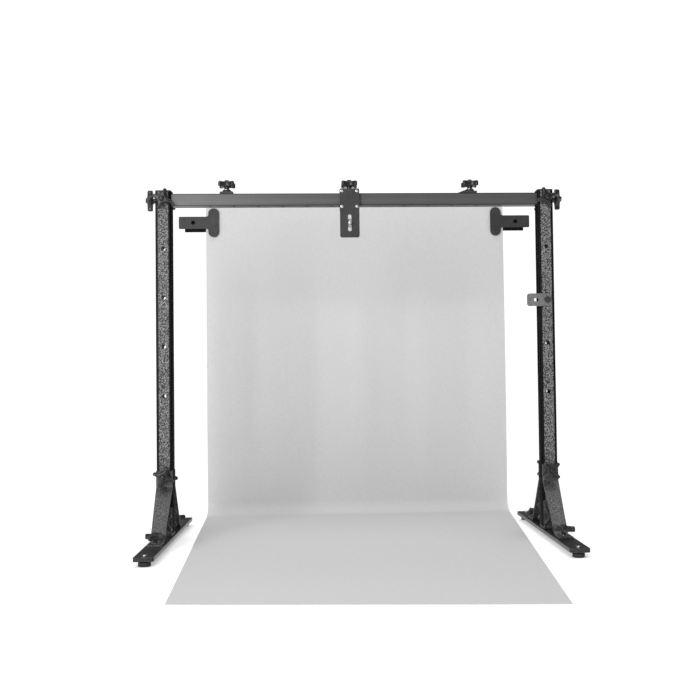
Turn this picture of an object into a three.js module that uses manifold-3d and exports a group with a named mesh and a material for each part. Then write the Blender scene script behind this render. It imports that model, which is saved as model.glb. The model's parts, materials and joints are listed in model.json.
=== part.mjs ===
// Tabletop background support: two posts on levelling bases carry a crossbar with a sliding
// camera carriage and two swing arms; a separate rear frame holds a sheet that sweeps forward.
// Millimetres, +Z up, X along the crossbar, the user stands on the -Y side.
import * as THREE from 'three';
import { mergeVertices } from 'three/addons/utils/BufferGeometryUtils.js';
import Module from 'manifold-3d';

const wasm = await Module();
wasm.setup();

// ---- Driving dimensions -------------------------------------------------------------------
const GAP = 0.3; // clearance between neighbouring pieces
const BITE = 0.5; // overlap that makes two joined volumes one body
const ROUND = 20; // facets on a full turn
const PLATE = 4; // thickness of the bent and flat steel parts

const POST = { x: 393, width: 32, wall: 2.5, corner: 3, top: 716, hole: 9 };
const HOLE_TOP = 700;
const HOLE_PITCH = 100;
const HOLE_COUNT = 5;
const POST_FACE = POST.width / 2;

const CAP = { flange: 3, plug: 8 };
const BASE = { length: 500, width: 38, bottom: 10, top: 18, corner: 5, footInset: 15 };
const FOOT = { radius: 11.5, height: 8, neck: 6, stud: 4, tip: 20.5 };
const SHOE = { width: 30, top: 76 };
const BRACE = { topWidth: 32.5, footWidth: 25, top: 150, bend: 116, toe: 105, tip: 147 };
const KNOB_Z = { collar: 138, shoe: 47 };
const BASE_KNOB_Y = 126;

const BAR = { width: 25, wall: 2.5, hole: 6, pitch: 50, holes: 13, plug: 20 };
const BAR_TOP = HOLE_TOP + BAR.width / 2;
const BAR_END = POST.x - POST_FACE - GAP;

const STAR = { tip: 3.6, reach: 18, waist: 10.4, bevel: 1.5, hub: 5.4, hubHeight: 7, head: 10.7, boss: 3.8 };
const STUD = 3.8;
const STUD_HOLE = 4.3;

const CARRIAGE = { x: -13, width: 40, half: 17, top: 721, bottom: 681, plateBottom: 620 };
const SCREW = { x: 15.5, upper: 716, lower: 684, head: 3.4, sink: 1.8, shank: 1.8, depth: 12 };
const CAMERA_SCREW = { z: 650, slot: 3.6, slotHalf: 14, head: 9, headHeight: 7, stud: 3.1, reach: 7 };
const ARM = { left: -265, right: 238, base: 27, baseTop: 717, width: 18, reach: 70, eye: 3.2, top: 721 };
const RIGHT_ARM_TURN = THREE.MathUtils.degToRad(20);

const LIGHT = { z: 489, inner: 351, outer: 401, height: 26, slotX: 370, slot: 3.5, slotHalf: 1.5, bolt: 7, boltEnd: -10 };

// The rear frame stands a little to the right of the posts; front is the face of its clamps.
const REAR = { x: 11, front: 393, upright: 320, tube: 25, footLength: 130, footWidth: 40, footHeight: 8 };
const CLAMP = { z: 718, x: 399, outer: 434, neck: 362, inner: 336, stem: 30, head: 71, hole: 5 };
const CLAMP_CORNER = { head: 12.5, stem: 3, fillet: 4 };
const SHEET = { half: 368, top: 775, thickness: 1.5, bend: 32 };
const SHEET_EDGE = { left: [-306, -545], right: [290, -600] }; // the ends of its front edge, x and y
const SHEET_FACE = REAR.front + PLATE + GAP;
const RAIL_FACE = SHEET_FACE + SHEET.thickness + GAP;
const RAIL = { half: 420, bottom: 696, top: 726, thickness: 6 };
const UPRIGHT_FACE = RAIL_FACE + RAIL.thickness + GAP;
const STAR_TOP = STAR.hubHeight + STAR.head + STAR.boss;
const MIDDLE_X = (REAR.x + CLAMP.outer - (POST.x + POST_FACE + STAR_TOP)) / 2;
const MIDDLE_Y = (SHEET_EDGE.right[1] + UPRIGHT_FACE + REAR.footLength) / 2;

// ---- Materials ----------------------------------------------------------------------------
const finish = (color, roughness, metalness) => ({ color, roughness, metalness });
const HAMMERTONE = finish(0x4c4d4f, 0.5, 0.35);
const DARK_STEEL = finish(0x3c3d3f, 0.45, 0.4);
const ALUMINIUM = finish(0x5d5e60, 0.38, 0.7);
const ZINC = finish(0xb9babc, 0.3, 0.9);
const BLACK_PLASTIC = finish(0x17181a, 0.35, 0.0);
const RUBBER = finish(0x232323, 0.8, 0.0);
const PAPER = finish(0xd9d9d9, 0.9, 0.0);

// ---- Solids -------------------------------------------------------------------------------
function solidOf(geometry) {
  const bare = new THREE.BufferGeometry();
  bare.setAttribute('position', geometry.getAttribute('position').clone());
  if (geometry.index) bare.setIndex(geometry.index.clone());
  const welded = mergeVertices(bare, 1e-4);
  const index = welded.index.array;
  const faces = [];
  for (let i = 0; i < index.length; i += 3) {
    const [a, b, c] = [index[i], index[i + 1], index[i + 2]];
    if (a !== b && b !== c && c !== a) faces.push(a, b, c);
  }
  return new wasm.Manifold(new wasm.Mesh({
    numProp: 3,
    vertProperties: new Float32Array(welded.getAttribute('position').array),
    triVerts: new Uint32Array(faces),
  }));
}

function geometryOf(solid) {
  const mesh = solid.getMesh();
  const geometry = new THREE.BufferGeometry();
  geometry.setAttribute('position', new THREE.BufferAttribute(new Float32Array(mesh.vertProperties), 3));
  geometry.setIndex(new THREE.BufferAttribute(new Uint32Array(mesh.triVerts), 1));
  const faceted = geometry.toNonIndexed();
  faceted.computeVertexNormals();
  return faceted;
}

function block(low, high) {
  const size = high.map((value, axis) => value - low[axis]);
  const middle = high.map((value, axis) => (value + low[axis]) / 2);
  const geometry = new THREE.BoxGeometry(...size);
  geometry.translate(...middle);
  return solidOf(geometry);
}

function rod(radius, from, to, segments = ROUND) {
  const start = new THREE.Vector3(...from);
  const end = new THREE.Vector3(...to);
  const along = end.clone().sub(start);
  const geometry = new THREE.CylinderGeometry(radius, radius, along.length(), segments);
  const turn = new THREE.Quaternion().setFromUnitVectors(new THREE.Vector3(0, 1, 0), along.normalize());
  geometry.applyQuaternion(turn);
  geometry.translate(...start.add(end).divideScalar(2).toArray());
  return solidOf(geometry);
}

// Extrudes an outline along its own +Z, then moves it with a matrix.
function prism(points, depth, matrix = new THREE.Matrix4(), bevel = 0) {
  const geometry = new THREE.ExtrudeGeometry(new THREE.Shape(points), {
    depth: depth - 2 * bevel,
    bevelEnabled: bevel > 0,
    bevelThickness: bevel,
    bevelSize: bevel,
    bevelOffset: -bevel,
    bevelSegments: 1,
  });
  geometry.translate(0, 0, bevel);
  geometry.applyMatrix4(matrix);
  return solidOf(geometry);
}

const axes = (x, y, z, at = [0, 0, 0]) => new THREE.Matrix4()
  .makeBasis(new THREE.Vector3(...x), new THREE.Vector3(...y), new THREE.Vector3(...z))
  .setPosition(...at);
// Outline (u, v) read as (Y, Z), extruded along +X from x.
const alongX = (x) => axes([0, 1, 0], [0, 0, 1], [1, 0, 0], [x, 0, 0]);
// Outline (u, v) read as (X, Z), extruded along -Y from y.
const alongMinusY = (y) => axes([1, 0, 0], [0, 0, 1], [0, -1, 0], [0, y, 0]);

function arc(x, y, radius, from, to, steps) {
  const points = [];
  for (let i = 0; i <= steps; i += 1) {
    const angle = from + ((to - from) * i) / steps;
    points.push(new THREE.Vector2(x + radius * Math.cos(angle), y + radius * Math.sin(angle)));
  }
  return points;
}

function roundedRect(x0, x1, y0, y1, radius, steps = 4) {
  const quarter = Math.PI / 2;
  const corners = [[x1, y1], [x0, y1], [x0, y0], [x1, y0]];
  return corners.flatMap(([x, y], i) => {
    const cx = x === x1 ? x - radius : x + radius;
    const cy = y === y1 ? y - radius : y + radius;
    return arc(cx, cy, radius, i * quarter, (i + 1) * quarter, steps);
  });
}

// A closed outline of [x, y, radius] corners, each eased by an arc tangent to both its edges.
function easedOutline(corners, steps = 5) {
  const count = corners.length;
  return corners.flatMap(([x, y, radius], i) => {
    const at = new THREE.Vector2(x, y);
    const back = new THREE.Vector2(...corners[(i + count - 1) % count]).sub(at).normalize();
    const ahead = new THREE.Vector2(...corners[(i + 1) % count]).sub(at).normalize();
    const half = Math.acos(back.dot(ahead)) / 2;
    const centre = back.clone().add(ahead).normalize().multiplyScalar(radius / Math.sin(half)).add(at);
    const start = at.clone().addScaledVector(back, radius / Math.tan(half)).sub(centre);
    const sweep = (Math.PI - 2 * half) * Math.sign(ahead.cross(back));
    const from = Math.atan2(start.y, start.x);
    return arc(centre.x, centre.y, radius, from, from + sweep, steps);
  });
}

// A flat strip of constant thickness that follows a bent line.
function bentStrip(line, thickness) {
  const left = [];
  const right = [];
  line.forEach((point, i) => {
    const before = line[Math.max(i - 1, 0)];
    const after = line[Math.min(i + 1, line.length - 1)];
    const into = point.clone().sub(before).normalize();
    const out = after.clone().sub(point).normalize();
    const a = i === 0 ? out : into;
    const b = i === line.length - 1 ? into : out;
    const miter = new THREE.Vector2(-a.y - b.y, a.x + b.x).normalize();
    const half = thickness / 2 / miter.dot(new THREE.Vector2(-a.y, a.x));
    left.push(point.clone().addScaledVector(miter, half));
    right.push(point.clone().addScaledVector(miter, -half));
  });
  return left.concat(right.reverse());
}

const part = new THREE.Group();
part.name = 'background_support';
part.position.set(-MIDDLE_X, -MIDDLE_Y, 0);

function add(name, solid, look) {
  const mesh = new THREE.Mesh(geometryOf(solid), new THREE.MeshStandardMaterial(look));
  mesh.name = name;
  part.add(mesh);
  return mesh;
}

// ---- Star knob ----------------------------------------------------------------------------
// Four round lobes joined by tangent hollows.
function starOutline() {
  const eighth = Math.PI / 4;
  const { tip, reach, waist } = STAR;
  const cosine = Math.cos(eighth);
  const away = (reach * reach - (tip - waist) ** 2) / (2 * (reach * cosine + tip - waist));
  const hollow = away - waist;
  const tangent = Math.atan2(away * Math.sin(eighth), away * cosine - reach);
  const points = [];
  for (let i = 0; i < 4; i += 1) {
    const turn = 2 * i * eighth;
    const lobe = [reach * Math.cos(turn), reach * Math.sin(turn)];
    const pocket = [away * Math.cos(turn + eighth), away * Math.sin(turn + eighth)];
    points.push(...arc(...lobe, tip, turn - tangent, turn + tangent, 4));
    const start = turn + tangent + Math.PI;
    const sweep = 2 * (tangent + Math.PI - 5 * eighth);
    points.push(...arc(...pocket, hollow, start, start - sweep, 3).slice(1, -1));
  }
  return points;
}

const STAR_POINTS = starOutline();

// The knob stands on its origin with its axis along +Z and its stud below.
function starKnob(studLength) {
  const hub = rod(STAR.hub, [0, 0, GAP], [0, 0, STAR.hubHeight + BITE], 12);
  const lift = new THREE.Matrix4().setPosition(0, 0, STAR.hubHeight);
  const head = prism(STAR_POINTS, STAR.head, lift, STAR.bevel);
  const top = STAR.hubHeight + STAR.head;
  const cone = new THREE.CylinderGeometry(STAR.hub / 2, STAR.hub, STAR.boss + BITE, 12);
  cone.rotateX(Math.PI / 2);
  cone.translate(0, 0, top + (STAR.boss - BITE) / 2);
  const stud = rod(STUD, [0, 0, -studLength], [0, 0, GAP + BITE], 10);
  return hub.add(head).add(solidOf(cone)).add(stud);
}

function addKnob(name, at, direction, studLength, turn = 0) {
  const knob = add(name, starKnob(studLength), BLACK_PLASTIC);
  knob.position.set(...at);
  knob.quaternion.setFromUnitVectors(new THREE.Vector3(0, 0, 1), new THREE.Vector3(...direction));
  knob.rotateZ(turn);
  return knob;
}

// ---- Base: plate, feet, shoe and braces ---------------------------------------------------
function addBase(side, sx) {
  const x = sx * POST.x;
  const halfLength = BASE.length / 2;
  const footY = halfLength - BASE.footInset;
  const outline = roundedRect(x - BASE.width / 2, x + BASE.width / 2, -halfLength, halfLength, BASE.corner);
  const raised = new THREE.Matrix4().setPosition(0, 0, BASE.bottom);
  let plate = prism(outline, BASE.top - BASE.bottom, raised, 0.8);
  for (const y of [-footY, footY, -BASE_KNOB_Y, BASE_KNOB_Y]) {
    plate = plate.subtract(rod(FOOT.stud + 0.5, [x, y, 0], [x, y, BASE.top + 5]));
  }
  add(`base_plate_${side}`, plate, HAMMERTONE);

  const shoeBottom = BASE.top + GAP;
  const cheek = POST_FACE + GAP + PLATE / 2;
  const shoeLine = [[-cheek, SHOE.top], [-cheek, shoeBottom + PLATE / 2],
    [cheek, shoeBottom + PLATE / 2], [cheek, SHOE.top]].map((p) => new THREE.Vector2(...p));
  const studPath = rod(STUD_HOLE, [x, -60, KNOB_Z.shoe], [x, 60, KNOB_Z.shoe]);
  const shoe = prism(bentStrip(shoeLine, PLATE), SHOE.width, alongX(x - SHOE.width / 2));
  add(`post_shoe_${side}`, shoe.subtract(studPath), HAMMERTONE);

  for (const [end, sy] of [['front', -1], ['rear', 1]]) {
    addFoot(`foot_${end}_${side}`, x, sy * footY);
    addBrace(`brace_${end}_${side}`, x, sy);
    const turn = sy > 0 ? 0.5 : -0.38;
    const collarTurn = sx > 0 ? Math.PI / 4 : turn;
    const out = [0, sy, 0];
    const face = POST_FACE + GAP + PLATE;
    addKnob(`knob_collar_${end}_${side}`, [x, sy * face, KNOB_Z.collar], out, 12, collarTurn);
    addKnob(`knob_shoe_${end}_${side}`, [x, sy * face, KNOB_Z.shoe], out, 12, Math.PI / 4);
    const tabTop = BASE.top + GAP + PLATE;
    addKnob(`knob_base_${end}_${side}`, [x, sy * BASE_KNOB_Y, tabTop], [0, 0, 1], 11, turn);
  }
}

function addFoot(name, x, y) {
  const pad = rod(FOOT.radius, [0, 0, 0], [0, 0, FOOT.height]);
  const neck = rod(FOOT.neck, [0, 0, FOOT.height - BITE], [0, 0, BASE.bottom - GAP]);
  const stud = rod(FOOT.stud, [0, 0, FOOT.height - BITE], [0, 0, FOOT.tip], 14);
  add(name, pad.add(neck).add(stud), RUBBER).position.set(x, y, 0);
}

function addBrace(name, x, sy) {
  const wall = POST_FACE + GAP + PLATE / 2;
  const foot = BASE.top + GAP + PLATE / 2;
  const line = [[wall, BRACE.top], [wall, BRACE.bend], [BRACE.toe, foot], [BRACE.tip, foot]]
    .map(([y, z]) => new THREE.Vector2(sy * y, z));
  const top = BRACE.topWidth / 2;
  const low = BRACE.footWidth / 2;
  const sides = [[x - low, 0], [x + low, 0], [x + top, BRACE.bend], [x + top, BRACE.top + 1],
    [x - top, BRACE.top + 1], [x - top, BRACE.bend]].map((point) => new THREE.Vector2(...point));
  const taper = prism(sides, 2 * BASE.length, alongMinusY(BASE.length));
  const strap = prism(bentStrip(line, PLATE), 2 * top, alongX(x - top)).intersect(taper);
  const y = sy * wall;
  const upper = rod(STUD_HOLE, [x, y - PLATE, KNOB_Z.collar], [x, y + PLATE, KNOB_Z.collar]);
  const lower = rod(STUD_HOLE, [x, sy * BASE_KNOB_Y, 0], [x, sy * BASE_KNOB_Y, BASE.top + 9]);
  add(name, strap.subtract(upper).subtract(lower), HAMMERTONE);
}

// ---- Post, its cap, and the knobs at its head ---------------------------------------------
function addPost(side, sx) {
  const x = sx * POST.x;
  const bottom = BASE.top + 2 * GAP + PLATE;
  const raised = new THREE.Matrix4().setPosition(0, 0, bottom);
  const outer = roundedRect(x - POST_FACE, x + POST_FACE, -POST_FACE, POST_FACE, POST.corner);
  const bore = POST_FACE - POST.wall;
  let tube = prism(outer, POST.top - bottom, raised)
    .subtract(block([x - bore, -bore, 0], [x + bore, bore, POST.top + 1]));
  const reach = POST.width;
  for (let i = 0; i < HOLE_COUNT; i += 1) {
    const z = HOLE_TOP - i * HOLE_PITCH;
    tube = tube.subtract(rod(POST.hole / 2, [x, -reach, z], [x, reach, z], 16));
  }
  // The crossbar's end screws travel in a slot through both side walls.
  const slot = POST.hole / 2;
  const slotLow = HOLE_TOP - (HOLE_COUNT - 1) * HOLE_PITCH;
  const slotLine = roundedRect(-slot, slot, slotLow - slot, HOLE_TOP + slot, slot - 0.05);
  tube = tube.subtract(prism(slotLine, 2 * reach, alongX(x - reach)));
  for (const z of [KNOB_Z.collar, KNOB_Z.shoe]) {
    tube = tube.subtract(rod(POST.hole / 2, [x, -reach, z], [x, reach, z], 16));
  }
  if (side === 'right') {
    tube = tube.subtract(rod(STUD_HOLE, [x, -reach, LIGHT.z], [x, 0, LIGHT.z], 16));
  }
  add(`post_${side}`, tube, HAMMERTONE);

  const flange = prism(outer, CAP.flange, new THREE.Matrix4().setPosition(0, 0, POST.top + GAP));
  const plugHalf = bore - GAP;
  const plug = block([x - plugHalf, -plugHalf, POST.top - CAP.plug],
    [x + plugHalf, plugHalf, POST.top + GAP + BITE]);
  add(`post_cap_${side}`, flange.add(plug), BLACK_PLASTIC);

  const shortStud = 10;
  addKnob(`knob_corner_front_${side}`, [x, -POST_FACE, HOLE_TOP], [0, -1, 0], shortStud, sx * 0.35);
  const throughPost = POST.width + GAP + BAR.plug * 0.75;
  const outside = [sx * (POST.x + POST_FACE), 0, HOLE_TOP];
  addKnob(`knob_corner_rear_${side}`, [x, POST_FACE, HOLE_TOP], [0, 1, 0], shortStud, 0.6);
  addKnob(`knob_corner_side_${side}`, outside, [sx, 0, 0], throughPost);
}

// ---- Rear frame: uprights on feet, the T clamps and the rail they grip the sheet against ---
function addRearUpright(side, sx) {
  const x = REAR.x + sx * REAR.upright;
  const half = REAR.tube / 2;
  const back = UPRIGHT_FACE + REAR.tube;
  const foot = block([x - REAR.footWidth / 2, UPRIGHT_FACE, 0],
    [x + REAR.footWidth / 2, UPRIGHT_FACE + REAR.footLength, REAR.footHeight]);
  const bore = half - POST.wall;
  const tube = block([x - half, UPRIGHT_FACE, REAR.footHeight - BITE], [x + half, back, RAIL.top])
    .subtract(block([x - bore, UPRIGHT_FACE + POST.wall, REAR.footHeight],
      [x + bore, back - POST.wall, RAIL.top + 1]));
  const strutTop = REAR.footHeight + REAR.footLength - REAR.tube;
  const strut = prism([[back - BITE, REAR.footHeight - BITE],
    [UPRIGHT_FACE + REAR.footLength - PLATE, REAR.footHeight - BITE],
    [back - BITE, strutTop]].map((point) => new THREE.Vector2(...point)), PLATE, alongX(x - PLATE / 2));
  add(`rear_upright_${side}`, foot.add(tube).add(strut), DARK_STEEL);
}

function addClamp(side, sx) {
  const { z, x, outer, neck, inner, stem, head, hole } = CLAMP;
  const { head: corner, stem: tip, fillet } = CLAMP_CORNER;
  const centre = REAR.x + sx * x;
  const corners = [[outer, -stem / 2, tip], [outer, stem / 2, tip], [neck, stem / 2, fillet],
    [neck, head / 2, corner], [inner, head / 2, corner], [inner, -head / 2, corner],
    [neck, -head / 2, corner], [neck, -stem / 2, fillet]]
    .map(([u, v, radius]) => [REAR.x + sx * u, z + v, radius]);
  const outline = easedOutline(sx > 0 ? corners : corners.reverse());
  const plate = prism(outline, PLATE, alongMinusY(REAR.front + PLATE));
  const ends = [REAR.x + sx * (outer - 4), REAR.x + sx * (SHEET.half + 4)].sort((a, b) => a - b);
  const pad = block([ends[0], REAR.front + PLATE - BITE, z - stem / 2 + GAP],
    [ends[1], RAIL_FACE - GAP, RAIL.top]);
  const bore = rod(hole, [centre, REAR.front - 5, z], [centre, REAR.front + 15, z]);
  add(`sheet_clamp_${side}`, plate.add(pad).subtract(bore), DARK_STEEL);
}

// ---- Crossbar -----------------------------------------------------------------------------
function addCrossbar() {
  const half = BAR.width / 2;
  const bore = half - BAR.wall;
  let tube = block([-BAR_END, -half, HOLE_TOP - half], [BAR_END, half, HOLE_TOP + half])
    .subtract(block([-BAR_END - 1, -bore, HOLE_TOP - bore], [BAR_END + 1, bore, HOLE_TOP + bore]));
  for (let i = 0; i < BAR.holes; i += 1) {
    const x = (i - (BAR.holes - 1) / 2) * BAR.pitch;
    tube = tube.subtract(rod(BAR.hole / 2, [x, 0, HOLE_TOP - half - 1], [x, 0, HOLE_TOP], 12));
  }
  add('crossbar', tube, ALUMINIUM);
  const plugHalf = bore - GAP;
  for (const [side, sx] of [['left', -1], ['right', 1]]) {
    const ends = [sx * (BAR_END - BAR.plug), sx * BAR_END].sort((a, b) => a - b);
    const plug = block([ends[0], -plugHalf, HOLE_TOP - plugHalf], [ends[1], plugHalf, HOLE_TOP + plugHalf]);
    const thread = rod(STUD_HOLE, [ends[0] - 1, 0, HOLE_TOP], [ends[1] + 1, 0, HOLE_TOP]);
    add(`crossbar_plug_${side}`, plug.subtract(thread), BLACK_PLASTIC);
  }
}

// ---- Camera carriage ----------------------------------------------------------------------
function addCarriage() {
  const { x, width, half, top, bottom, plateBottom } = CARRIAGE;
  const left = x - width / 2;
  const right = x + width / 2;
  const channel = BAR.width / 2 + GAP;
  const screws = [SCREW.upper, SCREW.lower].flatMap((z) => [-SCREW.x, SCREW.x].map((dx) => [x + dx, z]));
  const holes = screws.map(([sx, z]) => rod(SCREW.shank + GAP, [sx, -half - 9, z], [sx, -half + 13, z], 12));

  let ring = block([left, -half, bottom], [right, half, top])
    .subtract(block([left - 1, -channel, HOLE_TOP - channel], [right + 1, channel, HOLE_TOP + channel]))
    .subtract(rod(STUD_HOLE, [x, 0, HOLE_TOP], [x, 0, top + 1]));
  const plateFront = -half - GAP - PLATE;
  const outline = roundedRect(left, right, plateBottom, top, 4);
  let plate = prism(outline, PLATE, alongMinusY(-half - GAP));
  for (const hole of holes) {
    ring = ring.subtract(hole);
    plate = plate.subtract(hole);
  }
  for (const [sx, z] of screws) {
    const seat = plateFront + SCREW.sink + GAP;
    plate = plate.subtract(rod(SCREW.head + GAP, [sx, plateFront - 1, z], [sx, seat, z]));
  }
  const { z, slot, slotHalf } = CAMERA_SCREW;
  const slotLine = roundedRect(x - slot, x + slot, z - slotHalf - slot, z + slotHalf + slot, slot - 0.05);
  plate = plate.subtract(prism(slotLine, 3 * PLATE, alongMinusY(-half + PLATE)));
  add('carriage_block', ring, ALUMINIUM);
  add('camera_plate', plate, DARK_STEEL);

  screws.forEach(([sx, sz], i) => {
    const seat = plateFront + SCREW.sink;
    const head = rod(SCREW.head, [sx, plateFront + GAP, sz], [sx, seat, sz], 12);
    const shank = rod(SCREW.shank, [sx, seat - BITE, sz], [sx, seat + SCREW.depth, sz], 12);
    add(`plate_screw_${i + 1}`, head.add(shank), ZINC);
  });
  addKnob('carriage_knob', [x, 0, top], [0, 0, 1], top - BAR_TOP - GAP, Math.PI / 4);

  const back = -half + GAP;
  const head = rod(CAMERA_SCREW.head, [x, back, z], [x, back + CAMERA_SCREW.headHeight, z], 24);
  const stud = rod(CAMERA_SCREW.stud, [x, plateFront - CAMERA_SCREW.reach, z], [x, back + BITE, z], 14);
  add('camera_screw', head.add(stud), ZINC);
}

// ---- Swing arms on the crossbar -----------------------------------------------------------
function addSwingArm(side, x, turn) {
  const half = BAR.width / 2;
  const eye = rod(STUD_HOLE, [x, 0, BAR_TOP - 1], [x, 0, ARM.top + 1]);
  const base = block([x - ARM.base / 2, -half, BAR_TOP + GAP], [x + ARM.base / 2, half, ARM.baseTop]);
  add(`arm_base_${side}`, base.subtract(eye), DARK_STEEL);

  const radius = ARM.width / 2;
  const nearEnd = arc(0, 0, radius, Math.PI, 2 * Math.PI, 8);
  const farEnd = arc(0, ARM.reach, radius, 0, Math.PI, 8);
  const outline = [...nearEnd, ...farEnd];
  const thickness = ARM.top - ARM.baseTop - GAP;
  const blade = prism(outline, thickness)
    .subtract(rod(STUD_HOLE, [0, 0, -1], [0, 0, thickness + 1]))
    .subtract(rod(ARM.eye, [0, ARM.reach, -1], [0, ARM.reach, thickness + 1], 12));
  const arm = add(`swing_arm_${side}`, blade, DARK_STEEL);
  arm.position.set(x, 0, ARM.baseTop + GAP);
  arm.rotation.z = turn;
  addKnob(`arm_knob_${side}`, [x, 0, ARM.top], [0, 0, 1], ARM.top - BAR_TOP - GAP, Math.PI / 4);
}

// ---- Light bracket on the right post ------------------------------------------------------
function addLightBracket() {
  const { z, inner, outer, height, slotX, slot, slotHalf, bolt } = LIGHT;
  const face = -POST_FACE - GAP;
  const slotEnds = [slotX - slotHalf - slot, slotX + slotHalf + slot];
  const slotLine = roundedRect(...slotEnds, z - slot, z + slot, slot - 0.05);
  const plate = prism(roundedRect(inner, outer, z - height / 2, z + height / 2, 5), PLATE, alongMinusY(face))
    .subtract(prism(slotLine, 3 * PLATE, alongMinusY(face + PLATE)))
    .subtract(rod(STUD_HOLE, [POST.x, face - 9, z], [POST.x, face + 5, z]));
  add('light_bracket', plate, DARK_STEEL);
  const headBack = face - PLATE - GAP;
  const head = rod(bolt, [POST.x, headBack - 5, z], [POST.x, headBack, z], 6);
  const shank = rod(STUD, [POST.x, headBack - BITE, z], [POST.x, LIGHT.boltEnd, z], 14);
  add('light_bracket_bolt', head.add(shank), BLACK_PLASTIC);
}

// ---- Rear rail and the sheet --------------------------------------------------------------
function addRail() {
  const rail = block([REAR.x - RAIL.half, RAIL_FACE, RAIL.bottom],
    [REAR.x + RAIL.half, RAIL_FACE + RAIL.thickness, RAIL.top]);
  add('background_rail', rail, DARK_STEEL);
}

// The sheet hangs in front of the rail, bends at the floor and runs forward, narrowing to an
// edge that lies a little askew.
function addSheet() {
  const { half, top, thickness, bend } = SHEET;
  const back = SHEET_FACE + thickness;
  const level = (y, z) => [[REAR.x - half, y, z], [REAR.x + half, y, z]];
  const stations = [{ outer: level(back, top), inner: level(SHEET_FACE, top) }];
  for (let i = 0; i <= 8; i += 1) {
    const angle = (i / 8) * (Math.PI / 2);
    const at = (radius) => level(back - bend + radius * Math.cos(angle), bend - radius * Math.sin(angle));
    stations.push({ outer: at(bend), inner: at(bend - thickness) });
  }
  const edge = (z) => [[...SHEET_EDGE.left, z], [...SHEET_EDGE.right, z]];
  stations.push({ outer: edge(0), inner: edge(thickness) });

  const corners = stations.flatMap(({ outer, inner }) => [...outer, inner[1], inner[0]]);
  const faces = [[0, 2, 1], [0, 3, 2]];
  const last = 4 * (stations.length - 1);
  faces.push([last, last + 1, last + 2], [last, last + 2, last + 3]);
  for (let i = 0; i < stations.length - 1; i += 1) {
    for (let k = 0; k < 4; k += 1) {
      const a = 4 * i + k;
      const b = 4 * i + ((k + 1) % 4);
      faces.push([a, b, a + 4], [b, b + 4, a + 4]);
    }
  }
  const geometry = new THREE.BufferGeometry();
  geometry.setAttribute('position', new THREE.Float32BufferAttribute(corners.flat(), 3));
  geometry.setIndex(faces.flat());
  add('background_sheet', solidOf(geometry), PAPER);
}

for (const [side, sx] of [['left', -1], ['right', 1]]) {
  addBase(side, sx);
  addPost(side, sx);
  addRearUpright(side, sx);
  addClamp(side, sx);
}
addCrossbar();
addCarriage();
addSwingArm('left', ARM.left, 0);
addSwingArm('right', ARM.right, RIGHT_ARM_TURN);
addLightBracket();
addRail();
addSheet();

export default part;
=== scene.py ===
"""Looks of the tabletop background support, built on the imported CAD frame. Metres, +Z up."""
import json
import math

import bmesh
import bpy
from mathutils import Matrix, Vector, noise


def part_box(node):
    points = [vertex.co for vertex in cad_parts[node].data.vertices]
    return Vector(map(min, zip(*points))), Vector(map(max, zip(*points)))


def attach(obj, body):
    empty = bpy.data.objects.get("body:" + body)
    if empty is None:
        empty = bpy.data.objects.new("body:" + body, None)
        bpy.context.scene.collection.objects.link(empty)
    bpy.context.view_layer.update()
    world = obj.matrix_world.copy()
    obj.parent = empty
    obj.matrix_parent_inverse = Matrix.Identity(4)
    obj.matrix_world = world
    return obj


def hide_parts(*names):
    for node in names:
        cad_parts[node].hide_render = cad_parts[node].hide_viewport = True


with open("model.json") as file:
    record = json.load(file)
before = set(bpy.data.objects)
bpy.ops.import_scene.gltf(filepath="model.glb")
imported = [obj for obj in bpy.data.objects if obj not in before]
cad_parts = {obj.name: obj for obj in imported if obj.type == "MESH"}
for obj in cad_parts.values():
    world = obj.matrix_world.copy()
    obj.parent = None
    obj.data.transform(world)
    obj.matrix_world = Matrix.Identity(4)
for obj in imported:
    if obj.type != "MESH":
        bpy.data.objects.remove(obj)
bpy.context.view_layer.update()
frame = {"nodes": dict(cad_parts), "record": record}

MM = 0.001
POST_SHADE_BAND = (9.6 * MM, 11.2 * MM)  # where the painted shade on a post's corners begins and is full
BAR_SHADE_BAND = (10.4 * MM, 11.4 * MM)  # the same painted shade for the top and bottom edges of the crossbar
SHADED_SIDE_SLANT = 0.2  # faces of a post turned further than this from its front wall belong to the side, which gets the painted shade of the darker side coat
TURN = 2 * math.pi

RECORD = frame["record"]
SLOT_OF = {part["node"]: part["material_slot"] for part in RECORD["subparts"]}
BODY_OF = {node: body for body, nodes in RECORD["behaviour"]["bodies"].items() for node in nodes}
JOINT_OF = {joint["child"]: joint for joint in RECORD["behaviour"]["joints"]}
POST_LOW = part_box("post_left")[0]
POST_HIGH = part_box("post_right")[1]
MIDDLE = Vector(((POST_LOW.x + POST_HIGH.x) / 2, (POST_LOW.y + POST_HIGH.y) / 2, 0))  # between the posts


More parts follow.
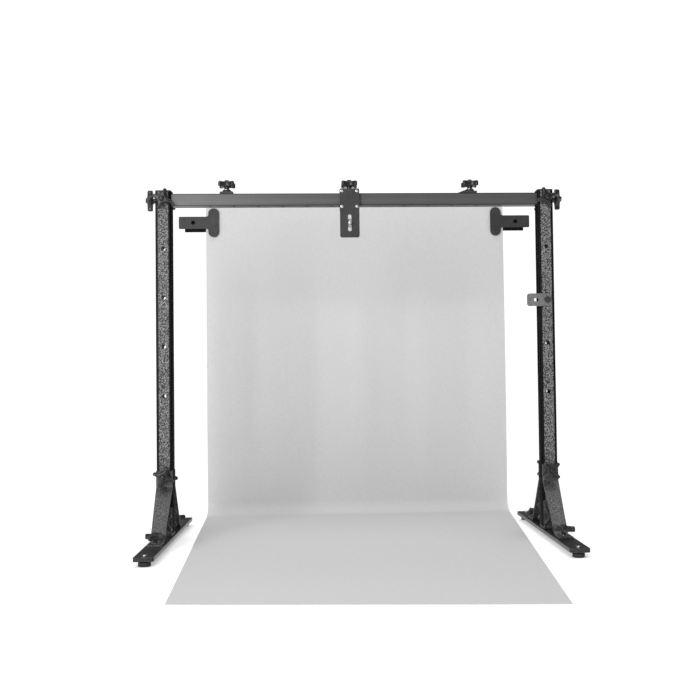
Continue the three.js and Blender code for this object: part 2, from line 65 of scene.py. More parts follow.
# ---- Finishes ------------------------------------------------------------------------------
class Finish:
    """A Principled material whose textures run in the piece's own coordinates."""

    def __init__(self, name, metallic=0.0, roughness=0.5, coat=0.0):
        self.material = bpy.data.materials.new(name)
        self.material.use_nodes = True
        self.tree = self.material.node_tree
        self.shader = self.tree.nodes["Principled BSDF"]
        self.shader.inputs["Metallic"].default_value = metallic
        self.shader.inputs["Roughness"].default_value = roughness
        self.shader.inputs["Coat Weight"].default_value = coat
        self.shader.inputs["Coat Roughness"].default_value = 0.25
        self.place = self.tree.nodes.new("ShaderNodeTexCoord").outputs["Object"]

    def node(self, kind, **inputs):
        made = self.tree.nodes.new(kind)
        for key, value in inputs.items():
            made.inputs[key.replace("_", " ")].default_value = value
        return made

    def stretched(self, stretch):
        mapping = self.node("ShaderNodeMapping", Scale=stretch)
        self.tree.links.new(self.place, mapping.inputs["Vector"])
        return mapping.outputs["Vector"]

    def noise(self, scale, detail=3.0, stretch=None):
        made = self.node("ShaderNodeTexNoise", Scale=scale, Detail=detail, Roughness=0.6)
        source = self.stretched(stretch) if stretch else self.place
        self.tree.links.new(source, made.inputs["Vector"])
        return made.outputs["Fac"]

    def cells(self, scale, smoothness=0.7):
        made = self.tree.nodes.new("ShaderNodeTexVoronoi")
        made.feature = "SMOOTH_F1"
        made.inputs["Scale"].default_value = scale
        made.inputs["Smoothness"].default_value = smoothness
        self.tree.links.new(self.place, made.inputs["Vector"])
        return made.outputs["Distance"]

    def weave(self, scale, direction):
        made = self.node("ShaderNodeTexWave", Scale=scale, Distortion=1.5, Detail=2.0)
        made.bands_direction = direction
        self.tree.links.new(self.place, made.inputs["Vector"])
        return made.outputs["Fac"]

    def tint(self, source, dark, light, low=0.35, high=0.65):
        ramp = self.tree.nodes.new("ShaderNodeValToRGB")
        for element, position, colour in zip(ramp.color_ramp.elements, (low, high), (dark, light)):
            element.position = position
            element.color = (*colour, 1.0)
        self.tree.links.new(source, ramp.inputs["Fac"])
        self.tree.links.new(ramp.outputs["Color"], self.shader.inputs["Base Color"])

    def paint_shade_past(self, direction, band, value):
        """Paints shade: runs the tint to a flat grey where the distance from the piece's centre passes the
        band.
        """
        across = self.tree.nodes.new("ShaderNodeSeparateXYZ")
        self.tree.links.new(self.place, across.inputs["Vector"])
        reach = self.tree.nodes.new("ShaderNodeMath")
        reach.operation = "ABSOLUTE"
        self.tree.links.new(across.outputs[direction], reach.inputs[0])
        edge = self.node("ShaderNodeMapRange", From_Min=band[0], From_Max=band[1])
        self.tree.links.new(reach.outputs["Value"], edge.inputs["Value"])
        shade = self.tree.nodes.new("ShaderNodeMix")
        shade.data_type = "RGBA"
        tinted, dark = [socket for socket in shade.inputs if socket.type == "RGBA"]
        # the flat grey is the painted shade's colour
        dark.default_value = (*grey(value), 1.0)
        self.tree.links.new(edge.outputs["Result"], shade.inputs["Factor"])
        self.tree.links.new(self.shader.inputs["Base Color"].links[0].from_socket, tinted)
        result = next(socket for socket in shade.outputs if socket.type == "RGBA")
        self.tree.links.new(result, self.shader.inputs["Base Color"])

    def gloss(self, source, low, high):
        spread = self.node("ShaderNodeMapRange", To_Min=low, To_Max=high)
        self.tree.links.new(source, spread.inputs["Value"])
        self.tree.links.new(spread.outputs["Result"], self.shader.inputs["Roughness"])

    def bump(self, *layers):
        """Each layer is (source, height in metres, strength)."""
        below = None
        for source, height, strength in layers:
            made = self.node("ShaderNodeBump", Strength=strength, Distance=height)
            self.tree.links.new(source, made.inputs["Height"])
            if below:
                self.tree.links.new(below, made.inputs["Normal"])
            below = made.outputs["Normal"]
        self.tree.links.new(below, self.shader.inputs["Normal"])


def grey(value, warmth=0.0):
    return (value * (1 + warmth), value, value * (1 - warmth))


def hammertone(name="hammertone_coat", dark=0.001, light=0.14):
    """Hammered powder coat: dimples about 3 mm across with a light and dark speckle."""
    finish = Finish(name, roughness=0.4, coat=0.2)
    dimples = finish.cells(330.0)
    speckle = finish.noise(520.0, 3.0)
    finish.tint(speckle, grey(dark), grey(light), 0.45, 0.64)
    finish.gloss(finish.noise(60.0), 0.34, 0.5)
    finish.bump((dimples, 0.4 * MM, 0.6), (speckle, 0.2 * MM, 0.5))
    return finish


def post_wall_painted_light_and_shade():
    """The hammered coat of the front and rear walls, lighter than the braces' coat as painted light, which
    runs nearly black toward the corners as painted shade.
    """
    # light speckle raised well above the braces' coat: painted light standing in for the front light and the
    # glints
    finish = hammertone("post_wall_painted_light_and_shade", 0.03, 0.36)
    finish.shader.inputs["Coat Weight"].default_value = 0.0
    finish.shader.inputs["Specular IOR Level"].default_value = 0.12
    # painted shade toward the post's corners
    finish.paint_shade_past("X", POST_SHADE_BAND, 0.004)
    return finish.material


def side_wall_painted_shade():
    """The coat of the post's corners and side walls: dull, and nearly black between the speckles, a darker
    copy of the coat that is painted shade.
    """
    # near-black speckle tones: painted shade on the side walls
    finish = hammertone("side_wall_painted_shade_coat", 0.001, 0.012)
    finish.shader.inputs["Coat Weight"].default_value = 0.0
    finish.shader.inputs["Specular IOR Level"].default_value = 0.05
    finish.gloss(finish.noise(60.0), 0.6, 0.8)
    return finish.material


def plate_coat_painted_shade():
    """The hammered coat of the base plates, glossier than on the braces, with a darker tint that is painted
    shade.
    """
    # darker speckle tones than the braces: painted shade on the plates
    finish = hammertone("plate_coat_painted_shade", 0.001, 0.05)
    finish.shader.inputs["Specular IOR Level"].default_value = 0.3
    finish.gloss(finish.noise(60.0), 0.26, 0.4)
    return finish.material


def bracket_plate():
    """A mid grey satin plate with a fine grain."""
    finish = Finish("grey_satin_plate", metallic=0.2, roughness=0.5)
    finish.tint(finish.noise(700.0, 3.0), grey(0.11), grey(0.22), 0.4, 0.6)
    finish.gloss(finish.noise(150.0), 0.42, 0.6)
    finish.bump((finish.noise(1200.0, 2.0), 0.05 * MM, 0.4))
    return finish.material


def satin_coat():
    finish = Finish("satin_dark_coat", roughness=0.5)
    finish.shader.inputs["Specular IOR Level"].default_value = 0.3
    finish.tint(finish.noise(45.0, 4.0), grey(0.03), grey(0.042))
    finish.gloss(finish.noise(160.0), 0.42, 0.58)
    finish.bump((finish.noise(1400.0, 2.0), 0.05 * MM, 0.35))
    return finish.material


def rail_black_painted_shade():
    """A matt coat with a fine orange peel for the rail, nearly black: its dark coat with painted shade for
    where it shows through the clamps' holes.
    """
    finish = Finish("rail_coat_painted_shade", roughness=0.7)
    finish.shader.inputs["Specular IOR Level"].default_value = 0.1
    # near-black tones: painted shade seen through the clamps' holes
    finish.tint(finish.noise(60.0, 4.0), grey(0.004), grey(0.007))
    finish.gloss(finish.noise(200.0), 0.62, 0.8)
    finish.bump((finish.noise(1200.0, 2.0), 0.05 * MM, 0.35))
    return finish.material


def anodised():
    """Satin extrusion with drawing lines along X, with painted shade along its top and bottom edges."""
    finish = Finish("grey_anodised", metallic=0.3, roughness=0.42)
    lines = finish.noise(60.0, 5.0, (0.03, 14.0, 14.0))
    finish.tint(lines, grey(0.075), grey(0.105))
    # painted shade along the top and bottom edges
    finish.paint_shade_past("Z", BAR_SHADE_BAND, 0.012)
    finish.gloss(finish.noise(25.0, 4.0), 0.32, 0.44)
    finish.bump((lines, 0.03 * MM, 0.3))
    return finish.material


def zinc():
    finish = Finish("bright_zinc", metallic=1.0, roughness=0.3)
    finish.tint(finish.noise(300.0, 4.0), grey(0.5, 0.01), grey(0.72, 0.01))
    finish.gloss(finish.noise(500.0), 0.22, 0.42)
    finish.bump((finish.noise(2200.0, 2.0), 0.02 * MM, 0.4))
    return finish.material


def knob_plastic():
    finish = Finish("glossy_knob_plastic", roughness=0.3)
    finish.shader.inputs["Specular IOR Level"].default_value = 0.4
    finish.tint(finish.noise(90.0, 4.0), grey(0.012), grey(0.024))
    finish.gloss(finish.noise(220.0, 3.0), 0.26, 0.4)
    finish.bump((finish.noise(1800.0, 2.0), 0.04 * MM, 0.3))
    return finish.material


def moulded_plastic():
    finish = Finish("fine_grain_plastic", roughness=0.5)
    finish.tint(finish.noise(70.0, 4.0), grey(0.018), grey(0.03))
    finish.gloss(finish.noise(300.0), 0.42, 0.58)
    finish.bump((finish.cells(1800.0), 0.06 * MM, 0.4))
    return finish.material


def rubber():
    finish = Finish("matt_rubber", roughness=0.8)
    finish.tint(finish.noise(200.0, 5.0), grey(0.016), grey(0.032))
    finish.gloss(finish.noise(400.0), 0.7, 0.9)
    finish.bump((finish.noise(1500.0, 3.0), 0.08 * MM, 0.5))
    return finish.material


def sheet_paper():
    """Matt backdrop sheet with a faint cloth grain and soft mottling."""
    finish = Finish("seamless_sheet", roughness=0.9)
    finish.shader.inputs["Specular IOR Level"].default_value = 0.2
    mottle = finish.noise(220.0, 6.0)
    finish.tint(mottle, grey(0.61), grey(0.66), 0.3, 0.7)
    finish.gloss(finish.noise(90.0), 0.84, 0.95)
    finish.bump((finish.weave(300.0, "X"), 0.05 * MM, 0.25), (finish.weave(300.0, "Z"), 0.05 * MM, 0.25),
                (finish.noise(1100.0, 4.0), 0.06 * MM, 0.35))
    return finish.material


POST_WALL_PAINTED_LIGHT_AND_SHADE = post_wall_painted_light_and_shade()
SIDE_WALL_PAINTED_SHADE = side_wall_painted_shade()
PLATE_COAT_PAINTED_SHADE = plate_coat_painted_shade()
NODE_FINISH = {
    "base_plate_left": PLATE_COAT_PAINTED_SHADE,
    "base_plate_right": PLATE_COAT_PAINTED_SHADE,
    "light_bracket": bracket_plate(),
}
FINISHES = {
    "hammertone": hammertone().material,
    "dark_coated_steel": satin_coat(),
    "black_coated_steel": rail_black_painted_shade(),
    "grey_anodised": anodised(),
    "zinc_plated": zinc(),
    "black_plastic": moulded_plastic(),
    "knob_plastic": knob_plastic(),
    "foot_rubber": rubber(),
    "sheet_paper": sheet_paper(),
}


# ---- Mesh helpers --------------------------------------------------------------------------
def make_object(name, mesh, slot, smooth_angle=35.0):
    piece = bpy.data.objects.new(name, mesh)
    bpy.context.collection.objects.link(piece)
    mesh.materials.clear()
    mesh.materials.append(FINISHES[slot])
    for polygon in mesh.polygons:
        polygon.use_smooth = True
    mesh.set_sharp_from_angle(angle=math.radians(smooth_angle))
    return piece


def mesh_of(name, points, faces):
    mesh = bpy.data.meshes.new(name)
    mesh.from_pydata([tuple(point) for point in points], [], faces)
    shape = bmesh.new()
    shape.from_mesh(mesh)
    bmesh.ops.recalc_face_normals(shape, faces=shape.faces)
    shape.to_mesh(mesh)
    shape.free()
    return mesh


def lofted(rings, close_start=True, close_end=True):
    """Joins closed rings of equal length into one surface; ends close on their own centres."""
    count = len(rings[0])
    points = [point for ring in rings for point in ring]
    faces = []
    for row in range(len(rings) - 1):
        for k in range(count):
            a = row * count + k
            b = row * count + (k + 1) % count
            faces.append((a, b, b + count, a + count))
    for closed, row in ((close_start, 0), (close_end, len(rings) - 1)):
        if closed:
            centre = sum((Vector(p) for p in rings[row]), Vector()) / count
            points.append(centre)
            middle = len(points) - 1
            faces.extend((row * count + k, row * count + (k + 1) % count, middle) for k in range(count))
    return points, faces


def circle(radius, height, count):
    return [(radius * math.cos(TURN * k / count), radius * math.sin(TURN * k / count), height)
            for k in range(count)]


def merged(*shapes):
    points = []
    faces = []
    for more_points, more_faces in shapes:
        start = len(points)
        points.extend(more_points)
        faces.extend(tuple(index + start for index in face) for face in more_faces)
    return points, faces


def turned(profile, count=32):
    """A closed lathe about Z from (radius, height) pairs."""
    return lofted([circle(radius, height, count) for radius, height in profile])


def threaded(radius, low, high, pitch=1.25 * MM, count=20):
    """A stud with ring threads and a chamfered lower end."""
    depth = 0.45 * MM
    profile = [(radius - 2 * depth, low)]
    steps = max(2, int((high - low) / pitch))
    for i in range(steps):
        base = low + (i + 0.3) * (high - low) / steps
        profile.append((radius - depth, base))
        profile.append((radius, base + 0.35 * (high - low) / steps))
    profile.append((radius, high))
    return turned(profile, count)


def give_post_painted_light_and_shade(mesh):
    """The front and rear walls get the lighter speckled coat with painted light and shade, and the corners
    and side walls the dull one with painted shade.
    """
    mesh.materials[0] = POST_WALL_PAINTED_LIGHT_AND_SHADE
    mesh.materials.append(SIDE_WALL_PAINTED_SHADE)
    for polygon in mesh.polygons:
        if abs(polygon.normal.x) > SHADED_SIDE_SLANT:
            polygon.material_index = 1


WELD_DISTANCE = 0.005 * MM
FLAT_ANGLE = math.radians(0.5)  # neighbours closer than this merge into one flat
EDGE_ANGLE = math.radians(38)  # edges sharper than this are rounded
EDGE_SEGMENTS = 2


def refine(node, bevel):
    """The CAD node's own shape with merged flats and rounded edges."""
    source = frame["nodes"][node]
    shape = bmesh.new()
    shape.from_mesh(source.data)
    bmesh.ops.remove_doubles(shape, verts=shape.verts, dist=WELD_DISTANCE)
    bmesh.ops.dissolve_limit(shape, angle_limit=FLAT_ANGLE, verts=shape.verts, edges=shape.edges)
    low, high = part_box(node)
    centre = (Vector(low) + Vector(high)) / 2
    bmesh.ops.translate(shape, verts=shape.verts, vec=-centre)
    mesh = bpy.data.meshes.new(f"{node}_look")
    shape.to_mesh(mesh)
    shape.free()
    piece = make_object(f"{node}_look", mesh, SLOT_OF[node])
    piece.matrix_world = Matrix.Translation(centre)
    if node in ("post_left", "post_right"):
        give_post_painted_light_and_shade(mesh)
    if node in NODE_FINISH:
        mesh.materials[0] = NODE_FINISH[node]
    rounding = piece.modifiers.new("edges", "BEVEL")
    rounding.width = bevel
    rounding.segments = EDGE_SEGMENTS
    rounding.limit_method = "ANGLE"
    rounding.angle_limit = EDGE_ANGLE
    rounding.harden_normals = True
    rounding.use_clamp_overlap = True
    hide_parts(node)
    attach(piece, BODY_OF[node])
    return piece


# ---- Star knobs ----------------------------------------------------------------------------
STAR_TIP = 3.6 * MM
STAR_REACH = 18 * MM
STAR_WAIST = 10.4 * MM
HUB_RADIUS = 5.4 * MM
HUB_HEIGHT = 7 * MM
HEAD_HEIGHT = 10.7 * MM
BOSS_HEIGHT = 3.8 * MM
STUD_RADIUS = 3.8 * MM
WASHER_RADIUS = 7.5 * MM
WASHER_LOW = 0.3 * MM
WASHER_HIGH = 1.4 * MM
WASHER_CHAMFER = 0.3 * MM
TIP_STEPS = 12
HOLLOW_STEPS = 10


def star_ring(inset, height):
    """Four lobes joined by tangent hollows, shrunk evenly by inset."""
    eighth = math.pi / 4
    away = (STAR_REACH ** 2 - (STAR_TIP - STAR_WAIST) ** 2) \
        / (2 * (STAR_REACH * math.cos(eighth) + STAR_TIP - STAR_WAIST))
    tangent = math.atan2(away * math.sin(eighth), away * math.cos(eighth) - STAR_REACH)
    tip = STAR_TIP - inset
    hollow = away - STAR_WAIST + inset
    ring = []
    for i in range(4):
        turn = 2 * i * eighth
        for k in range(TIP_STEPS + 1):
            angle = turn - tangent + 2 * tangent * k / TIP_STEPS
            ring.append((STAR_REACH * math.cos(turn) + tip * math.cos(angle),
                         STAR_REACH * math.sin(turn) + tip * math.sin(angle), height))
        start = turn + tangent + math.pi
        sweep = 2 * (tangent + math.pi - 5 * eighth)
        for k in range(1, HOLLOW_STEPS):
            angle = start - sweep * k / HOLLOW_STEPS
            ring.append((away * math.cos(turn + eighth) + hollow * math.cos(angle),
                         away * math.sin(turn + eighth) + hollow * math.sin(angle), height))
    return ring


def ring_inside(star, radius, height):
    """A circle whose points lie at the same bearings as the star's."""
    ring = []
    for x, y, _ in star:
        bearing = math.atan2(y, x)
        ring.append((radius * math.cos(bearing), radius * math.sin(bearing), height))
    return ring


def star_head():
    """The knob's head from the hub's foot to the boss; levels and crown are (inset or radius, rise) in mm."""
    top = HUB_HEIGHT + HEAD_HEIGHT
    edge = star_ring(0, 0)
    levels = [(2.2, 0.0), (0.9, 0.25), (0.25, 0.9), (0.0, 2.0), (0.0, 7.4), (0.35, 9.0),
              (1.2, 10.1), (2.4, 10.7)]
    rings = [star_ring(inset * MM, HUB_HEIGHT + rise * MM) for inset, rise in levels]
    below = ring_inside(edge, HUB_RADIUS, HUB_HEIGHT)
    foot = ring_inside(edge, HUB_RADIUS - 0.3 * MM, 0.3 * MM)
    crown = [(6.6, 0.0), (6.2, -0.7), (5.6, -0.7), (5.2, 0.2), (4.6, 2.4), (3.4, 3.5)]
    caps = [ring_inside(edge, radius * MM, top + rise * MM) for radius, rise in crown]
    return lofted([foot, below, *rings, *caps, ring_inside(edge, 1.6 * MM, top + BOSS_HEIGHT)])


STAR_HEAD = mesh_of("star_head", *star_head())
KNOB_TURN = {"collar_front_left": -0.38, "collar_rear_left": 0.5, "collar_front_right": math.pi / 4,
             "collar_rear_right": math.pi / 4, "base_front": -0.38, "base_rear": 0.5,
             "shoe": math.pi / 4, "corner_rear": 0.6, "corner_side": 0, "carriage_knob": math.pi / 4,
             "arm_knob": math.pi / 4, "corner_front_left": -0.35, "corner_front_right": 0.35}


def knob_turn(node):
    return next(turn for part, turn in KNOB_TURN.items() if part in node)


def dress_knob(node):
    """A star head, and a metal washer and threaded stud below it."""
    joint = JOINT_OF[node]
    at = Vector(joint["pos_m"])
    axis = Vector(joint["axis"])
    twist = Matrix.Rotation(knob_turn(node), 4, "Z").to_quaternion()
    spin = Vector((0, 0, 1)).rotation_difference(axis) @ twist
    place = Matrix.Translation(at) @ spin.to_matrix().to_4x4()
    head = make_object(f"{node}_head", STAR_HEAD.copy(), "knob_plastic", 40.0)
    head.matrix_world = place
    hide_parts(node)
    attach(head, BODY_OF[node])

    low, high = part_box(node)
    along = [abs(component) for component in axis].index(1)
    far = low if axis[along] > 0 else high
    depth = abs(far[along] - at[along])
    hole = STUD_RADIUS - 1 * MM
    rim = WASHER_RADIUS - WASHER_CHAMFER
    section = ((hole, WASHER_LOW), (rim, WASHER_LOW), (WASHER_RADIUS, WASHER_LOW + WASHER_CHAMFER),
               (WASHER_RADIUS, WASHER_HIGH - WASHER_CHAMFER), (rim, WASHER_HIGH), (hole, WASHER_HIGH),
               (hole, WASHER_LOW))
    washer = lofted([circle(radius, height, 32) for radius, height in section], False, False)
    stud = threaded(STUD_RADIUS, -depth, 1.2 * MM)
    metal = make_object(f"{node}_stud", mesh_of(f"{node}_stud", *merged(washer, stud)), "zinc_plated")
    metal.matrix_world = place
    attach(metal, BODY_OF[node])


# ---- Levelling feet and small screws -------------------------------------------------------
def dress_foot(node):
    """A ribbed rubber pad with a hexagon neck and a stud."""
    low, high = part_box(node)
    centre = Vector(((low.x + high.x) / 2, (low.y + high.y) / 2, 0))
    radius = (high.x - low.x) / 2
    rubber_profile = [(radius - 1.2 * MM, 0), (radius - 0.3 * MM, 0.4 * MM), (radius, 1.2 * MM),
                      (radius, 2.6 * MM), (radius - 0.5 * MM, 3.0 * MM), (radius - 0.5 * MM, 3.6 * MM),
                      (radius, 4.0 * MM), (radius, 6.2 * MM), (radius - 0.4 * MM, 7.4 * MM),
                      (radius - 1.6 * MM, 8.0 * MM), (6.4 * MM, 8.1 * MM), (6.0 * MM, 8.4 * MM)]
    pad = make_object(f"{node}_pad", mesh_of(f"{node}_pad", *turned(rubber_profile, 48)), "foot_rubber")
    stud_shape = merged(turned([(5.6 * MM, 8.0 * MM), (6.0 * MM, 8.3 * MM), (6.0 * MM, 9.4 * MM),
                                (5.6 * MM, 9.7 * MM)], 6),
                        turned([(4 * MM, 9.0 * MM), (4 * MM, 19.6 * MM), (3.2 * MM, high.z)], 24))
    stud = make_object(f"{node}_stud", mesh_of(f"{node}_stud", *stud_shape), "zinc_plated")
    for piece in (pad, stud):
        piece.matrix_world = Matrix.Translation(centre)
        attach(piece, BODY_OF[node])
    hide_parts(node)


def hex_ring(radius, height, count):
    """A hexagon sampled at the same bearings as a circle of count points."""
    ring = []
    for k in range(count):
        bearing = TURN * k / count
        flat = math.cos(math.pi / 6) / math.cos((bearing % (TURN / 6)) - math.pi / 6)
        ring.append((radius * flat * math.cos(bearing), radius * flat * math.sin(bearing), height))
    return ring


def dress_screw(node):
    """A button-head screw with a hexagon socket; its head faces -Y."""
    low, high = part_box(node)
    length = high.y - low.y
    radius = (high.x - low.x) / 2
    head = 1.5 * MM
    shank = 1.8 * MM
    count = 36
    rings = [circle(shank, -(length - head), count), circle(shank, 0, count), circle(radius, 0, count),
             circle(radius, 0.5 * head, count), circle(radius * 0.9, 0.85 * head, count),
             circle(radius * 0.7, head, count), hex_ring(radius * 0.52, head, count),
             hex_ring(radius * 0.5, 0.3 * head, count)]
    piece = make_object(f"{node}_look", mesh_of(f"{node}_look", *lofted(rings)), "zinc_plated")
    centre = Vector(((low.x + high.x) / 2, low.y + head, (low.z + high.z) / 2))
    piece.matrix_world = Matrix.Translation(centre) @ Matrix.Rotation(math.pi / 2, 4, "X")
    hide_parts(node)
    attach(piece, BODY_OF[node])


def dress_camera_screw(node):
    """A thumb screw: knurled wheel behind the plate and a threaded stud through its slot."""
    low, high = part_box(node)
    radius = (high.x - low.x) / 2
    wheel = 7 * MM
    count = 120
    ribs = 30

    def knurl(inset, height):
        ring = []
        for k in range(count):
            bearing = TURN * k / count
            reach = radius - inset - 0.45 * MM * (0.5 + 0.5 * math.cos(ribs * bearing))
            ring.append((reach * math.cos(bearing), reach * math.sin(bearing), height))
        return ring

    stem = high.y - low.y - wheel
    rings = [knurl(3 * MM, 0), knurl(0.8 * MM, 0), knurl(0, 0.8 * MM), knurl(0, wheel - 0.8 * MM),
             knurl(0.8 * MM, wheel), circle(radius * 0.6, wheel, count),
             circle(radius * 0.5, wheel - 1 * MM, count)]
    shapes = merged(lofted(rings), threaded(3.1 * MM, -stem, 0.5 * MM, MM, 24))
    piece = make_object(f"{node}_look", mesh_of(f"{node}_look", *shapes), "zinc_plated")
    centre = Vector(((low.x + high.x) / 2, high.y - wheel, (low.z + high.z) / 2))
    piece.matrix_world = Matrix.Translation(centre) @ Matrix.Rotation(-math.pi / 2, 4, "X")
    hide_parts(node)
    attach(piece, BODY_OF[node])


# ---- The sheet -----------------------------------------------------------------------------
SHEET_LOW, SHEET_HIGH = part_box("background_sheet")
SHEET_BEND = 32 * MM
SHEET_THICKNESS = 0.6 * MM
SHEET_CAD_THICKNESS = 1.5 * MM
SHEET_FLOOR = SHEET_CAD_THICKNESS / 2
EDGE_LEFT = MIDDLE + Vector((-306 * MM, -545 * MM, SHEET_FLOOR))
EDGE_RIGHT = MIDDLE + Vector((290 * MM, -600 * MM, SHEET_FLOOR))
SHEET_COLUMNS = 60
SHEET_FREE_TOP = 680 * MM  # below the clamps the sheet hangs free
UPRIGHT_ROWS = 70
BEND_ROWS = 12
FLOOR_ROWS = 90
FOLD_DEPTHS = (3.0 * MM, 0.8 * MM)
FOLD_WIDTHS = (0.17, 0.075)
FOLD_START = 0.9
RIPPLE = 0.5 * MM
CORNER_START = 0.93  # the share of the floor length from which the front corners lift
CORNER_LIFT = 0.4 * MM


def sheet_stations():
    """(y, z, normal y, normal z, share of the way along the floor) from the top edge to the front."""
    middle = SHEET_HIGH.y - SHEET_CAD_THICKNESS / 2
    radius = SHEET_BEND - SHEET_CAD_THICKNESS / 2
    stations = []
    for i in range(UPRIGHT_ROWS):
        height = SHEET_HIGH.z + (SHEET_BEND - SHEET_HIGH.z) * i / UPRIGHT_ROWS
        stations.append((middle, height, -1.0, 0.0, 0.0))
    for i in range(BEND_ROWS + 1):
        angle = (math.pi / 2) * i / BEND_ROWS
        stations.append((middle - radius + radius * math.cos(angle), SHEET_BEND - radius * math.sin(angle),
                         -math.cos(angle), math.sin(angle), 0.0))
    for i in range(1, FLOOR_ROWS + 1):
        stations.append((middle - radius, SHEET_FLOOR, 0.0, 1.0, i / FLOOR_ROWS))
    return stations


def sheet_relief(x, y, z, share, across):
    """How far the sheet stands off its plane: slack between the clamps, ripples, a lifted front edge."""
    ripple = RIPPLE * noise.noise(Vector((x * 5.0, (y + z) * 3.0, 4.7)))
    if share > 0:
        corner = max(0.0, share - CORNER_START) / (1 - CORNER_START)
        return max(0.0, ripple) + CORNER_LIFT * corner * corner * across ** 4
    hang = max(0.0, min(1.0, (SHEET_FREE_TOP - z) / SHEET_FREE_TOP))
    wide = FOLD_DEPTHS[0] * (1 + math.sin(TURN * x / FOLD_WIDTHS[0] + FOLD_START))
    narrow = FOLD_DEPTHS[1] * (1 + math.sin(TURN * x / FOLD_WIDTHS[1]))
    folds = wide + narrow
    return (folds + ripple) * math.sin(math.pi * hang)


def sheet_rim(rows, width):
    """The outline of the front layer's grid of points, once round."""
    rim = list(range(width)) + [row * width + width - 1 for row in range(1, rows)]
    rim += [(rows - 1) * width + column for column in range(width - 2, -1, -1)]
    rim += [row * width for row in range(rows - 2, 0, -1)]
    return rim


def sheet_mesh():
    """Two layers of one grid, joined round the rim."""
    front = []
    back = []
    for y, z, ny, nz, share in sheet_stations():
        for column in range(SHEET_COLUMNS + 1):
            along = column / SHEET_COLUMNS
            hung = Vector((SHEET_LOW.x + (SHEET_HIGH.x - SHEET_LOW.x) * along, y, z))
            spot = hung.lerp(EDGE_LEFT.lerp(EDGE_RIGHT, along), share)
            lift = sheet_relief(*spot, share, abs(2 * along - 1))
            for side, points in ((1, front), (-1, back)):
                off = lift + side * SHEET_THICKNESS / 2
                points.append((spot.x, spot.y + ny * off, spot.z + nz * off))
    width = SHEET_COLUMNS + 1
    rows = len(front) // width
    faces = []
    for row in range(rows - 1):
        for column in range(SHEET_COLUMNS):
            a = row * width + column
            faces.append((a, a + 1, a + width + 1, a + width))
            b = a + len(front)
            faces.append((b, b + width, b + width + 1, b + 1))
    rim = sheet_rim(rows, width)
    for a, b in zip(rim, rim[1:] + rim[:1]):
        faces.append((a, b, b + len(front), a + len(front)))
    return mesh_of("backdrop_sheet", front + back, faces)


def dress_sheet():
    piece = make_object("backdrop_sheet", sheet_mesh(), "sheet_paper", 60.0)
    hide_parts("background_sheet")
    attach(piece, BODY_OF["background_sheet"])


# ---- Dressing every node -------------------------------------------------------------------
PLATE_BEVEL = 1.6 * MM
BEVELS = {"hammertone": 0.6 * MM, "dark_coated_steel": 0.4 * MM, "grey_anodised": 0.5 * MM,
          "black_plastic": 0.6 * MM, "zinc_plated": 0.4 * MM, "black_coated_steel": 0.5 * MM}


def dress_all():
    for node, slot in SLOT_OF.items():
        if slot == "knob_plastic":
            dress_knob(node)
        elif slot == "foot_rubber":
            dress_foot(node)
        elif node.startswith("plate_screw"):
            dress_screw(node)
        elif node == "camera_screw":
            dress_camera_screw(node)
        elif node != "background_sheet":
            refine(node, PLATE_BEVEL if node.startswith("base_plate") else BEVELS[slot])
    dress_sheet()


# ---- Floor, light and camera ---------------------------------------------------------------
EYE = Vector((-0.061, -2.005, 0.333))  # from the floor between the posts
EYE_YAW = math.radians(2.71)
EYE_PITCH = math.radians(1.69)
EYE_ROLL = math.radians(0.71)
FOCAL = 50.04
SHIFT_X = -0.034
SHIFT_Y = -0.002
ROOM_LIGHT = 0.12
BACKDROP_LIGHT = 1.1
CEILING_LIGHT = 1.9
CEILING_SPREAD = math.radians(70)
SOFTBOX_POWER = 72.0
SOFTBOX_SIZE = (1.6, 1.6)
FLOOR_GLOW = 0.42
FLOOR_REACH = 14.0
FLOOR_DROP = 0.2 * MM


def add_floor():
    finish = Finish("studio_floor", roughness=0.9)
    finish.shader.inputs["Specular IOR Level"].default_value = 0.1
    finish.shader.inputs["Emission Color"].default_value = (1.0, 1.0, 1.0, 1.0)
    finish.shader.inputs["Emission Strength"].default_value = FLOOR_GLOW
    finish.tint(finish.noise(8.0), grey(0.88), grey(0.9))
    corners = [(FLOOR_REACH * x, FLOOR_REACH * y, 0) for x, y in ((-1, -1), (1, -1), (1, 1), (-1, 1))]
    mesh = bpy.data.meshes.new("studio_floor")
    mesh.from_pydata(corners, [], [(0, 1, 2, 3)])
    mesh.materials.append(finish.material)
    floor = bpy.data.objects.new("studio_floor", mesh)
    bpy.context.collection.objects.link(floor)
    floor.location.z = -FLOOR_DROP


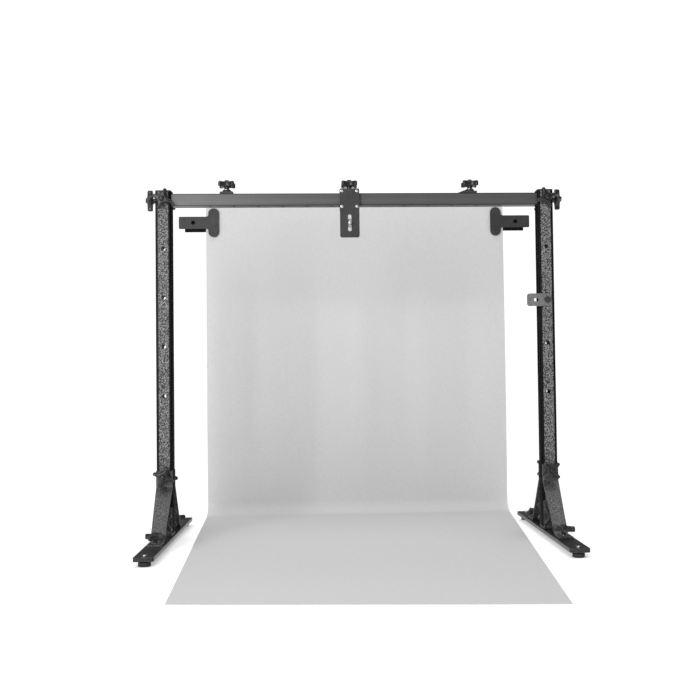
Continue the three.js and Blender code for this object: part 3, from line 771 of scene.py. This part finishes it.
def add_lamp(name, kind, at, target, power):
    light = bpy.data.lights.new(name, kind)
    light.energy = power
    lamp = bpy.data.objects.new(name, light)
    lamp.location = at
    lamp.rotation_euler = (Vector(target) - Vector(at)).to_track_quat("-Z", "Y").to_euler()
    bpy.context.collection.objects.link(lamp)
    return light


def add_softbox(name, at, target, size, power):
    light = add_lamp(name, "AREA", at, target, power)
    light.shape = "RECTANGLE"
    light.size, light.size_y = size


def add_world():
    """White behind everything in view, and a dim even room for the light that falls on the part."""
    world = bpy.data.worlds.new("studio")
    bpy.context.scene.world = world
    world.use_nodes = True
    tree = world.node_tree
    seen = tree.nodes.new("ShaderNodeLightPath")
    level = tree.nodes.new("ShaderNodeMapRange")
    level.inputs["To Min"].default_value = ROOM_LIGHT
    level.inputs["To Max"].default_value = BACKDROP_LIGHT
    tree.links.new(seen.outputs["Is Camera Ray"], level.inputs["Value"])
    tree.nodes["Background"].inputs["Color"].default_value = (1.0, 1.0, 1.0, 1.0)
    tree.links.new(level.outputs["Result"], tree.nodes["Background"].inputs["Strength"])


def add_camera():
    forward = Vector((math.sin(EYE_YAW) * math.cos(EYE_PITCH), math.cos(EYE_YAW) * math.cos(EYE_PITCH),
                      math.sin(EYE_PITCH)))
    level = Vector((math.cos(EYE_YAW), -math.sin(EYE_YAW), 0))
    upright = level.cross(forward)
    right = math.cos(EYE_ROLL) * level - math.sin(EYE_ROLL) * upright
    up = math.sin(EYE_ROLL) * level + math.cos(EYE_ROLL) * upright
    camera = bpy.data.objects.new("camera", bpy.data.cameras.new("camera"))
    bpy.context.collection.objects.link(camera)
    place = Matrix((right, up, -forward)).transposed().to_4x4()
    place.translation = MIDDLE + EYE
    camera.matrix_world = place
    camera.data.lens = FOCAL
    camera.data.shift_x = SHIFT_X
    camera.data.shift_y = SHIFT_Y
    bpy.context.scene.camera = camera


dress_all()
add_floor()
add_world()
add_lamp("ceiling", "SUN", (0, 0, 3), (0, 0.2, 0), CEILING_LIGHT).angle = CEILING_SPREAD
add_softbox("front_left", (-1.6, -3.0, 1.3), (0, 0, 0.4), SOFTBOX_SIZE, SOFTBOX_POWER)
add_camera()
bpy.context.scene.view_settings.view_transform = "Standard"
